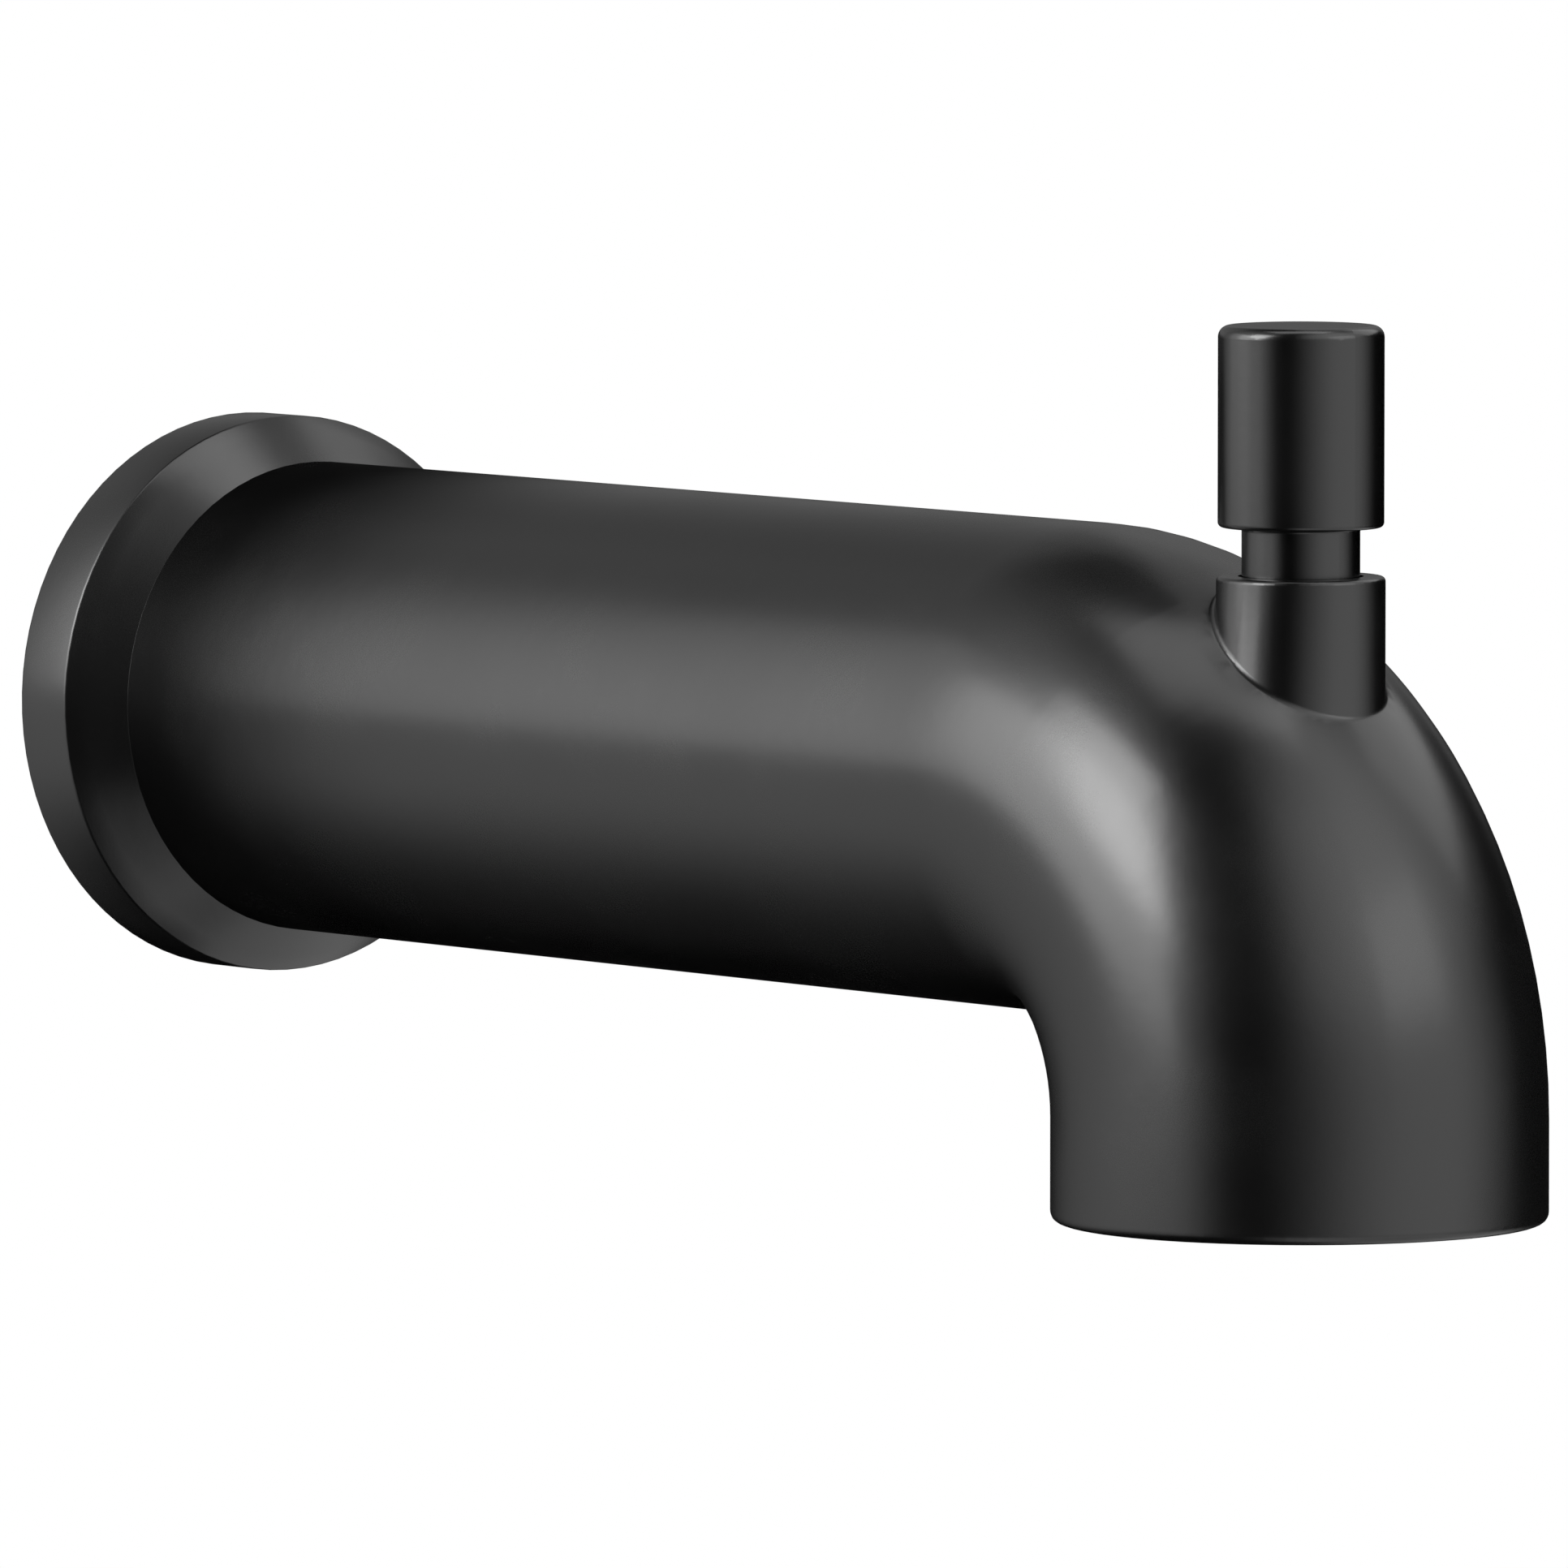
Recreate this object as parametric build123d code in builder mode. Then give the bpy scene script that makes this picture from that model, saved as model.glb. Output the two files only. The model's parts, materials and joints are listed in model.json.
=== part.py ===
import os
from math import sqrt

from build123d import *

# Bath spout with a pull-up diverter, in millimetres.
# The origin is the centre of the flange's back face. X runs out from the wall and Z runs up.

# Casting: flange, tube, elbow and nose
body_diameter = 48.0
wall = 3.0
flange_lip = 4.5  # how far the flange's rim stands out from the tube
flange_rim = 7.6  # length of the rim
flange_rise = 4.7  # height of the conical face, from the rim to the tube
flange_edge = 0.5
straight_length = 137.0  # from the wall to the start of the bend
bend_throat = 7.8  # inside radius of the bend
nose_drop = 10.0  # straight run from the bend to the mouth
mouth_edge = 1.1

# Stem boss on top of the elbow
boss_diameter = 16.3
boss_stand = 1.7  # height above the elbow, at the back of the boss
boss_edge = 0.5
boss_fillet = 0.7
boss_inside = 8.0  # how far the boss reaches down inside the shell
boss_step = 1.5  # the inner end of the boss is this much smaller in radius
boss_shoulder = 1.7  # floor that carries the stem seal

# Knob and its neck
knob_diameter = 16.0
knob_height = 19.4
knob_top_edge = 1.1
knob_bottom_edge = 0.5
neck_diameter = 11.4
neck_gap = 4.7  # neck that shows between boss and knob when the knob is down
neck_recess = 2.8  # neck hidden in the boss
neck_root = 0.4
neck_clearance = 0.35
neck_float = 0.3  # the neck stops this far above the bush

# Lift rod
rod_diameter = 3.0
rod_in_knob = 12.0
rod_end_gap = 0.5
rod_chamfer = 0.4
button_diameter = 4.6  # head on the rod's lower end
button_height = 1.8
button_play = 0.1

# Guide bush and stem seal
bush_diameter = 9.4
bush_flange = 1.2
bush_flange_gap = 0.1
stem_seal_height = 2.0
rod_fit = 0.05  # running clearance of the rod
press_gap = 0.02  # gap in what is pressed or screwed together
rod_clearance = 0.4

# Port, seal and gate
port_width = 14.0
port_height = 9.0
port_chamfer = 0.6
seal_lap = 1.5  # how far the seal covers the seat round the port
seal_thickness = 1.5
seal_edge = 0.3
gate_border = 0.75  # plate that shows round the seal
gate_thickness = 2.2
gate_back = 1.2  # the plate's back face, in front of the rod's axis
hub_width = 7.4
hub_back = 4.0  # the hub's back face, behind the rod's axis
hub_lip = 1.6  # hub above the pocket for the rod's head
hub_floor = 1.2
hub_drop = 0.5  # the hub's top lies this far below the plate's
hub_corner = 1.5

# Gate housing and its seat plate
housing_wall = 2.2
guide_gap = 0.3  # gate to side walls
stop_gap = 0.2  # gate to the chamber's ends
seat_gap = 0.15  # seal to seat
chamber_back_gap = 0.7
seat_thickness = 2.2
seat_ledge = 1.1
collar_height = 1.3
collar_diameter = 11.0
spigot_socket_depth = 9.0
spigot_socket_wall = 2.0

# Waterway tube
tube_bore = 13.0
tube_wall = 2.2
spigot_wall = 3.0
spigot_back_step = 1.5  # spigot that stays outside the housing's socket
slip_gap = 0.1
socket_wall = 1.6
socket_floor = 2.5
plate_setback = 8.0  # fixing plate in front of the bushing's socket
plate_thickness = 3.5
plate_hub_rim = 2.5
ear_radius = 2.9
ear_gap = 0.4  # ear to the casting's inside

# Screws that hold the waterway, and their lugs in the casting
screw_count = 3
screw_first_angle = 90.0
screw_diameter = 3.0
screw_length = 11.0
screw_head_diameter = 4.6
screw_head_height = 2.0
screw_head_edge = 0.6
screw_recess_length = 2.8
screw_recess_width = 0.7
screw_recess_depth = 1.1
screw_clearance = 0.2
lug_radius = 3.2
lug_length = 15.0
lug_hole_spare = 1.5

# Inlet bushing, for a half-inch taper pipe thread
inlet_recess = 8.0  # from the wall to the bushing's face
thread_hole_diameter = 18.26
thread_length = 16.0
thread_chamfer = 1.2
bushing_wall = 3.3
bushing_nose = 6.5  # plain end that carries the sealing ring
hex_across_flats = 27.0
hex_length = 4.0
hex_chamfer = 0.6

# Sealing rings and the gasket on the wall side
ring_section = 1.5
ring_gap = 0.05
ring_groove_spare = 0.8
gasket_width = 3.2
gasket_thickness = 3.0
gasket_gap = 0.05
gasket_edge = 0.4

# Casting, worked out
body_radius = body_diameter / 2
cavity_radius = body_radius - wall
flange_radius = body_radius + flange_lip
flange_face = flange_rim + flange_rise
bend_radius = body_radius + bend_throat
stem_x = straight_length + bend_radius
cavity_crest = sqrt((bend_radius + cavity_radius) ** 2 - bend_radius**2) - bend_radius
bend_axis = Axis((straight_length, 0, -bend_radius), (0, 1, 0))
stem_axis = Axis((stem_x, 0, 0), (0, 0, 1))

# Heights along the stem
boss_radius = boss_diameter / 2
boss_back = sqrt((bend_radius + body_radius) ** 2 - (bend_radius - boss_radius) ** 2) - bend_radius
boss_top = boss_back + boss_stand
boss_bottom = cavity_crest - boss_inside
boss_plane = Plane(origin=(stem_x, 0, boss_top), x_dir=(0, -1, 0), z_dir=(0, 0, 1))
shoulder_top = boss_bottom + boss_shoulder
stem_seal_top = shoulder_top + stem_seal_height
neck_radius = neck_diameter / 2
neck_bore = neck_radius + neck_clearance
neck_bottom = boss_top - neck_recess
bush_top = neck_bottom - neck_float
bush_seat = bush_top - bush_flange
bush_radius = bush_diameter / 2
bush_bore = bush_radius + press_gap
knob_radius = knob_diameter / 2
knob_bottom = boss_top + neck_gap
rod_radius = rod_diameter / 2

# Gate and its chamber
travel = port_height + seal_lap
seal_width = port_width + 2 * seal_lap
seal_height = port_height + 2 * seal_lap
gate_width = seal_width + 2 * gate_border
gate_height = seal_height + 2 * gate_border
gate_back_x = stem_x + gate_back
gate_front_x = gate_back_x + gate_thickness
seat_x = gate_front_x + seal_thickness + seat_gap
chamber_back_x = stem_x - hub_back - chamber_back_gap
housing_back_x = chamber_back_x - housing_wall
housing_front_x = seat_x + seat_thickness
housing_top = boss_bottom - collar_height
chamber_top = housing_top - housing_wall
port_z = chamber_top - stop_gap - gate_height / 2
gate_rest_z = port_z - travel
gate_top = gate_rest_z + gate_height / 2
chamber_width = gate_width + 2 * guide_gap
chamber_height = gate_height + travel + 2 * stop_gap
chamber_corner = gate_height / 2 + guide_gap
chamber_z = chamber_top - chamber_height / 2

# Rod's head in the gate's hub
hub_top = gate_top - hub_drop
pocket_top = hub_top - hub_lip
button_top = pocket_top - button_play
rod_bottom = button_top - button_height
pocket_bottom = rod_bottom - button_play
hub_bottom = pocket_bottom - hub_floor

# Inlet bushing and waterway
thread_hole_radius = thread_hole_diameter / 2
bushing_radius = thread_hole_radius + bushing_wall
bushing_front = inlet_recess + thread_length + bushing_nose
tube_bore_radius = tube_bore / 2
tube_radius = tube_bore_radius + tube_wall
socket_back = inlet_recess + hex_length
socket_bore = bushing_radius + slip_gap
socket_radius = socket_bore + socket_wall
socket_front = bushing_front + socket_floor
plate_back = socket_front + plate_setback
plate_front = plate_back + plate_thickness
spigot_radius = tube_bore_radius + spigot_wall
spigot_bore = spigot_radius + slip_gap
spigot_socket_back = housing_back_x - spigot_socket_depth
spigot_back = spigot_socket_back - spigot_back_step
spigot_groove_x = spigot_socket_back + spigot_socket_depth / 2
bushing_groove_x = bushing_front - bushing_nose / 2
groove_width = ring_section + ring_groove_spare
groove_depth = ring_section + ring_gap - slip_gap + ring_gap

# Screws and gasket
screw_radius = screw_diameter / 2
screw_pitch = cavity_radius - ear_gap - ear_radius
screw_hole = screw_radius + press_gap
lug_outer = cavity_radius + wall / 2
gasket_middle = (cavity_radius + flange_radius) / 2
gasket_inner = gasket_middle - gasket_width / 2
gasket_outer = gasket_middle + gasket_width / 2


# Hollow of the elbow, with the inner end of the boss left standing in it
with BuildPart() as elbow_hollow:
    with BuildSketch(Plane.YZ.offset(straight_length)):
        Circle(cavity_radius)
    revolve(axis=bend_axis, revolution_arc=90)
    with BuildSketch(boss_plane.offset(boss_bottom - boss_top)):
        Circle(boss_radius - boss_step)
    extrude(amount=boss_top - boss_bottom, mode=Mode.SUBTRACT)

# Die casting: flange, tube, elbow, nose and stem boss in one hollow piece
with BuildPart() as spout_body:
    # Elbow, with the boss blended into it
    with BuildSketch(Plane.YZ.offset(straight_length)):
        Circle(body_radius)
    revolve(axis=bend_axis, revolution_arc=90)
    with BuildSketch(boss_plane):
        Circle(boss_radius)
    extrude(amount=-boss_top)
    fillet(spout_body.edges(Select.NEW), boss_fillet)
    fillet(spout_body.faces().filter_by(Axis.Z).sort_by(Axis.Z)[-1].edges(), boss_edge)
    add(elbow_hollow.part, mode=Mode.SUBTRACT)

    # Straight tube with its flange, then the nose
    with BuildSketch(Plane.XZ) as tube_profile:
        with BuildLine():
            Polyline(
                (0, cavity_radius),
                (0, flange_radius),
                (flange_rim, flange_radius),
                (flange_face, body_radius),
                (straight_length, body_radius),
                (straight_length, cavity_radius),
                close=True,
            )
        make_face()
        rim_corners = tube_profile.vertices().sort_by(Axis.Y)[-2:]
        fillet(rim_corners, flange_edge)
    revolve(axis=Axis.X)
    with BuildSketch(Plane.XY.offset(-bend_radius)):
        with Locations((stem_x, 0)):
            Circle(body_radius)
            Circle(cavity_radius, mode=Mode.SUBTRACT)
    extrude(amount=-nose_drop)
    fillet(spout_body.faces().filter_by(Axis.Z).sort_by(Axis.Z)[0].edges(), mouth_edge)

    # Bores for neck, bush, seal and rod
    with BuildSketch(Plane.XY.offset(bush_seat)):
        with Locations((stem_x, 0)):
            Circle(neck_bore)
    extrude(amount=boss_top - bush_seat, mode=Mode.SUBTRACT)
    with BuildSketch(Plane.XY.offset(shoulder_top)):
        with Locations((stem_x, 0)):
            Circle(bush_bore)
    extrude(amount=bush_seat - shoulder_top, mode=Mode.SUBTRACT)
    with BuildSketch(Plane.XY.offset(boss_bottom)):
        with Locations((stem_x, 0)):
            Circle(rod_radius + rod_clearance)
    extrude(amount=boss_shoulder, mode=Mode.SUBTRACT)

    # Groove for the gasket in the flange's back
    with BuildSketch(Plane.YZ):
        Circle(gasket_outer + gasket_gap)
        Circle(gasket_inner - gasket_gap, mode=Mode.SUBTRACT)
    extrude(amount=gasket_thickness, mode=Mode.SUBTRACT)

    # Lugs for the waterway's screws
    with BuildSketch(Plane.YZ.offset(plate_front)):
        with PolarLocations(screw_pitch, screw_count, screw_first_angle):
            Circle(lug_radius)
            Rectangle(lug_outer - screw_pitch, 2 * lug_radius, align=(Align.MIN, Align.CENTER))
    extrude(amount=lug_length)
    with BuildSketch(Plane.YZ.offset(plate_front)):
        with PolarLocations(screw_pitch, screw_count, screw_first_angle):
            Circle(screw_hole)
    extrude(amount=screw_length - plate_thickness + lug_hole_spare, mode=Mode.SUBTRACT)
spout_body.part.label = "spout_body"

# Foam ring that seals the flange to the wall, flush with the flange's back
with BuildPart() as wall_gasket:
    with BuildSketch(Plane.YZ):
        Circle(gasket_outer)
        Circle(gasket_inner, mode=Mode.SUBTRACT)
    extrude(amount=gasket_thickness)
    chamfer(wall_gasket.faces().sort_by(Axis.X)[0].edges(), gasket_edge)
wall_gasket.part.label = "wall_gasket"

# Brass bushing with a hexagon at the back and the plain hole of the pipe thread
with BuildPart() as inlet_bushing:
    with BuildSketch(Plane.YZ.offset(inlet_recess)):
        RegularPolygon(hex_across_flats / 2, 6, major_radius=False)
    extrude(amount=hex_length)
    chamfer(inlet_bushing.faces().sort_by(Axis.X)[0].edges(), hex_chamfer)
    with BuildSketch(Plane.YZ.offset(socket_back)):
        Circle(bushing_radius)
    extrude(amount=bushing_front - socket_back)
    with BuildSketch(Plane.YZ.offset(inlet_recess)):
        Circle(thread_hole_radius)
    extrude(amount=thread_length, mode=Mode.SUBTRACT)
    with BuildSketch(Plane.YZ.offset(inlet_recess + thread_length)):
        Circle(tube_bore_radius)
    extrude(amount=bushing_nose, mode=Mode.SUBTRACT)
    with BuildSketch(Plane.YZ.offset(bushing_groove_x - groove_width / 2)):
        Circle(bushing_radius)
        Circle(bushing_radius - groove_depth, mode=Mode.SUBTRACT)
    extrude(amount=groove_width, mode=Mode.SUBTRACT)
    hole_mouth = inlet_bushing.faces().sort_by(Axis.X)[0].inner_wires()[0].edges()
    chamfer(hole_mouth, thread_chamfer)
inlet_bushing.part.label = "inlet_bushing"

# Sealing ring round the bushing
with BuildPart() as inlet_o_ring:
    with BuildSketch(Plane.XZ):
        with Locations((bushing_groove_x, socket_bore - ring_gap - ring_section / 2)):
            Circle(ring_section / 2)
    revolve(axis=Axis.X)
inlet_o_ring.part.label = "inlet_o_ring"

# Moulded tube from the bushing to the gate housing, sloping down to the port's height
with BuildPart() as waterway:
    with BuildSketch(Plane.YZ.offset(socket_back)):
        Circle(socket_radius)
    extrude(amount=socket_front - socket_back)
    with BuildSketch(Plane.YZ.offset(socket_front)):
        Circle(tube_radius)
    extrude(amount=plate_front - socket_front)
    with BuildSketch(Plane.YZ.offset(plate_back)):
        Circle(tube_radius + plate_hub_rim)
        with PolarLocations(screw_pitch / 2, screw_count, screw_first_angle):
            SlotCenterToCenter(screw_pitch, 2 * ear_radius)
    extrude(amount=plate_thickness)
    with BuildSketch(Plane.YZ.offset(plate_back)):
        with PolarLocations(screw_pitch, screw_count, screw_first_angle):
            Circle(screw_radius + screw_clearance)
    extrude(amount=plate_thickness, mode=Mode.SUBTRACT)
    with BuildSketch(Plane.YZ.offset(plate_front)):
        Circle(tube_radius)
    with BuildSketch(Plane.YZ.offset(spigot_back)):
        with Locations((0, port_z)):
            Circle(tube_radius)
    loft()
    with BuildSketch(Plane.YZ.offset(spigot_back)):
        with Locations((0, port_z)):
            Circle(spigot_radius)
    extrude(amount=housing_back_x - spigot_back)

    # Socket for the bushing and the water's way through
    with BuildSketch(Plane.YZ.offset(socket_back)):
        Circle(socket_bore)
    extrude(amount=bushing_front - socket_back, mode=Mode.SUBTRACT)
    with BuildSketch(Plane.YZ.offset(bushing_front)):
        Circle(tube_bore_radius)
    extrude(amount=plate_front - bushing_front, mode=Mode.SUBTRACT)
    with BuildSketch(Plane.YZ.offset(plate_front)):
        Circle(tube_bore_radius)
    with BuildSketch(Plane.YZ.offset(spigot_back)):
        with Locations((0, port_z)):
            Circle(tube_bore_radius)
    loft(mode=Mode.SUBTRACT)
    with BuildSketch(Plane.YZ.offset(spigot_back)):
        with Locations((0, port_z)):
            Circle(tube_bore_radius)
    extrude(amount=housing_back_x - spigot_back, mode=Mode.SUBTRACT)
    with BuildSketch(Plane.YZ.offset(spigot_groove_x - groove_width / 2)):
        with Locations((0, port_z)):
            Circle(spigot_radius)
            Circle(spigot_radius - groove_depth, mode=Mode.SUBTRACT)
    extrude(amount=groove_width, mode=Mode.SUBTRACT)
waterway.part.label = "waterway"

# Sealing ring round the spigot
with BuildPart() as spigot_o_ring:
    with BuildSketch(Plane.XZ):
        with Locations((spigot_groove_x, port_z + spigot_bore - ring_gap - ring_section / 2)):
            Circle(ring_section / 2)
    revolve(axis=Axis((0, 0, port_z), (1, 0, 0)))
spigot_o_ring.part.label = "spigot_o_ring"

# Pan-head screws through the plate's ears into the casting's lugs
with BuildPart() as waterway_screws:
    with BuildSketch(Plane.YZ.offset(plate_back)):
        with PolarLocations(screw_pitch, screw_count, screw_first_angle):
            Circle(screw_head_diameter / 2)
    extrude(amount=-screw_head_height)
    chamfer(waterway_screws.edges().group_by(Axis.X)[0], screw_head_edge)
    with BuildSketch(Plane.YZ.offset(plate_back)):
        with PolarLocations(screw_pitch, screw_count, screw_first_angle):
            Circle(screw_radius)
    extrude(amount=screw_length)
    with BuildSketch(Plane.YZ.offset(plate_back - screw_head_height)):
        with PolarLocations(screw_pitch, screw_count, screw_first_angle):
            Rectangle(screw_recess_length, screw_recess_width)
            Rectangle(screw_recess_width, screw_recess_length)
    extrude(amount=screw_recess_depth, mode=Mode.SUBTRACT)
waterway_screws.part.label = "waterway_screws"

# Chamber in which the gate slides, with a socket for the spigot and a collar under the boss
with BuildPart() as gate_housing:
    with BuildSketch(Plane.YZ.offset(housing_back_x)):
        with Locations((0, chamber_z)):
            RectangleRounded(
                chamber_width + 2 * housing_wall,
                chamber_height + 2 * housing_wall,
                chamber_corner + housing_wall,
            )
    extrude(amount=housing_front_x - housing_back_x)
    with BuildSketch(Plane.YZ.offset(housing_back_x)):
        with Locations((0, port_z)):
            Circle(spigot_bore + spigot_socket_wall)
    extrude(amount=-spigot_socket_depth)
    with BuildSketch(Plane.XY.offset(chamber_top)):
        with Locations((stem_x, 0)):
            Circle(collar_diameter / 2)
    extrude(amount=boss_bottom - chamber_top)
    with BuildSketch(Plane.YZ.offset(chamber_back_x)):
        with Locations((0, chamber_z)):
            RectangleRounded(chamber_width, chamber_height, chamber_corner)
    extrude(amount=housing_front_x - chamber_back_x, mode=Mode.SUBTRACT)
    with BuildSketch(Plane.YZ.offset(seat_x)):
        with Locations((0, chamber_z)):
            RectangleRounded(
                chamber_width + 2 * seat_ledge,
                chamber_height + 2 * seat_ledge,
                chamber_corner + seat_ledge,
            )
    extrude(amount=seat_thickness, mode=Mode.SUBTRACT)
    with BuildSketch(Plane.YZ.offset(spigot_socket_back)):
        with Locations((0, port_z)):
            Circle(spigot_bore)
    extrude(amount=spigot_socket_depth, mode=Mode.SUBTRACT)
    with BuildSketch(Plane.YZ.offset(housing_back_x)):
        with Locations((0, port_z)):
            Circle(tube_bore_radius)
    extrude(amount=housing_wall, mode=Mode.SUBTRACT)
    with BuildSketch(Plane.XY.offset(boss_bottom)):
        with Locations((stem_x, 0)):
            Circle(rod_radius + rod_clearance)
    extrude(amount=-(boss_bottom - chamber_top + stop_gap), mode=Mode.SUBTRACT)
gate_housing.part.label = "gate_housing"

# Front of the chamber, with the port that the gate closes from behind
with BuildPart() as seat_plate:
    with BuildSketch(Plane.YZ.offset(seat_x)):
        with Locations((0, chamber_z)):
            RectangleRounded(
                chamber_width + 2 * seat_ledge - 2 * slip_gap,
                chamber_height + 2 * seat_ledge - 2 * slip_gap,
                chamber_corner + seat_ledge - slip_gap,
            )
        with Locations((0, port_z)):
            SlotOverall(port_width, port_height, mode=Mode.SUBTRACT)
    extrude(amount=seat_thickness)
    port_lip = seat_plate.faces().sort_by(Axis.X)[-1].inner_wires()[0].edges()
    chamfer(port_lip, port_chamfer)
seat_plate.part.label = "seat_plate"

# Flanged bush that guides the rod in the boss
with BuildPart() as stem_bush:
    with BuildSketch(Plane.XY.offset(stem_seal_top)):
        with Locations((stem_x, 0)):
            Circle(bush_radius)
    extrude(amount=bush_seat - stem_seal_top)
    with BuildSketch(Plane.XY.offset(bush_seat)):
        with Locations((stem_x, 0)):
            Circle(neck_bore - bush_flange_gap)
    extrude(amount=bush_flange)
    with BuildSketch(Plane.XY.offset(stem_seal_top)):
        with Locations((stem_x, 0)):
            Circle(rod_radius + rod_fit)
    extrude(amount=bush_top - stem_seal_top, mode=Mode.SUBTRACT)
stem_bush.part.label = "stem_bush"

# Rubber ring under the bush
with BuildPart() as stem_seal:
    with BuildSketch(Plane.XY.offset(shoulder_top)):
        with Locations((stem_x, 0)):
            Circle(bush_radius)
            Circle(rod_radius + rod_fit, mode=Mode.SUBTRACT)
    extrude(amount=stem_seal_height)
stem_seal.part.label = "stem_seal"

# Knob and neck, turned from one bar and tapped from below
with BuildPart() as diverter_knob:
    with BuildSketch(Plane.XY.offset(neck_bottom)):
        with Locations((stem_x, 0)):
            Circle(neck_radius)
    extrude(amount=knob_bottom - neck_bottom)
    with BuildSketch(Plane.XY.offset(knob_bottom)):
        with Locations((stem_x, 0)):
            Circle(knob_radius)
    extrude(amount=knob_height)
    fillet(diverter_knob.edges().group_by(Axis.Z)[-1], knob_top_edge)
    knob_underside = diverter_knob.edges().filter_by(GeomType.CIRCLE).group_by(Axis.Z)[1]
    fillet(knob_underside.sort_by(SortBy.RADIUS)[-1], knob_bottom_edge)
    fillet(knob_underside.sort_by(SortBy.RADIUS)[0], neck_root)
    with BuildSketch(Plane.XY.offset(neck_bottom)):
        with Locations((stem_x, 0)):
            Circle(rod_radius + press_gap)
    extrude(amount=knob_bottom - neck_bottom + rod_in_knob + rod_end_gap, mode=Mode.SUBTRACT)
diverter_knob.part.label = "diverter_knob"

# Rod from the knob to the gate, with a head on its lower end
with BuildPart() as lift_rod:
    with BuildSketch(Plane.XZ):
        with BuildLine():
            Polyline(
                (stem_x, rod_bottom),
                (stem_x + button_diameter / 2, rod_bottom),
                (stem_x + button_diameter / 2, button_top),
                (stem_x + rod_radius, button_top),
                (stem_x + rod_radius, knob_bottom + rod_in_knob - rod_chamfer),
                (stem_x + rod_radius - rod_chamfer, knob_bottom + rod_in_knob),
                (stem_x, knob_bottom + rod_in_knob),
                close=True,
            )
        make_face()
    revolve(axis=stem_axis)
lift_rod.part.label = "lift_rod"

# Gate plate with a hub, whose slot takes the rod's head from behind
with BuildPart() as gate:
    with BuildSketch(Plane.YZ.offset(gate_back_x)):
        with Locations((0, gate_rest_z)):
            SlotOverall(gate_width, gate_height)
    extrude(amount=gate_thickness)
    with BuildSketch(Plane.XY.offset(hub_bottom)) as hub_outline:
        with Locations((gate_back_x, 0)):
            Rectangle(gate_back + hub_back, hub_width, align=(Align.MAX, Align.CENTER))
        fillet(hub_outline.vertices().group_by(Axis.X)[0], hub_corner)
    extrude(amount=hub_top - hub_bottom)
    with BuildSketch(Plane.XY.offset(pocket_bottom)):
        with Locations((stem_x, 0)):
            Circle(button_diameter / 2 + 2 * button_play)
            Rectangle(hub_back, button_diameter + 4 * button_play, align=(Align.MAX, Align.CENTER))
    extrude(amount=pocket_top - pocket_bottom, mode=Mode.SUBTRACT)
    with BuildSketch(Plane.XY.offset(pocket_top)):
        with Locations((stem_x, 0)):
            Circle(rod_radius + 2 * button_play)
            Rectangle(hub_back, rod_diameter + 4 * button_play, align=(Align.MAX, Align.CENTER))
    extrude(amount=gate_top - pocket_top, mode=Mode.SUBTRACT)
gate.part.label = "gate"

# Rubber face of the gate
with BuildPart() as gate_seal:
    with BuildSketch(Plane.YZ.offset(gate_front_x)):
        with Locations((0, gate_rest_z)):
            SlotOverall(seal_width, seal_height)
    extrude(amount=seal_thickness)
    fillet(gate_seal.faces().sort_by(Axis.X)[-1].edges(), seal_edge)
gate_seal.part.label = "gate_seal"

os.makedirs("parts", exist_ok=True)
export_step(spout_body.part, "parts/spout_body.step")
export_step(wall_gasket.part, "parts/wall_gasket.step")
export_step(inlet_bushing.part, "parts/inlet_bushing.step")
export_step(inlet_o_ring.part, "parts/inlet_o_ring.step")
export_step(waterway.part, "parts/waterway.step")
export_step(spigot_o_ring.part, "parts/spigot_o_ring.step")
export_step(waterway_screws.part, "parts/waterway_screws.step")
export_step(gate_housing.part, "parts/gate_housing.step")
export_step(seat_plate.part, "parts/seat_plate.step")
export_step(stem_bush.part, "parts/stem_bush.step")
export_step(stem_seal.part, "parts/stem_seal.step")
export_step(diverter_knob.part, "parts/diverter_knob.step")
export_step(lift_rod.part, "parts/lift_rod.step")
export_step(gate.part, "parts/gate.step")
export_step(gate_seal.part, "parts/gate_seal.step")
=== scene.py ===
import json
import math

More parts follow.
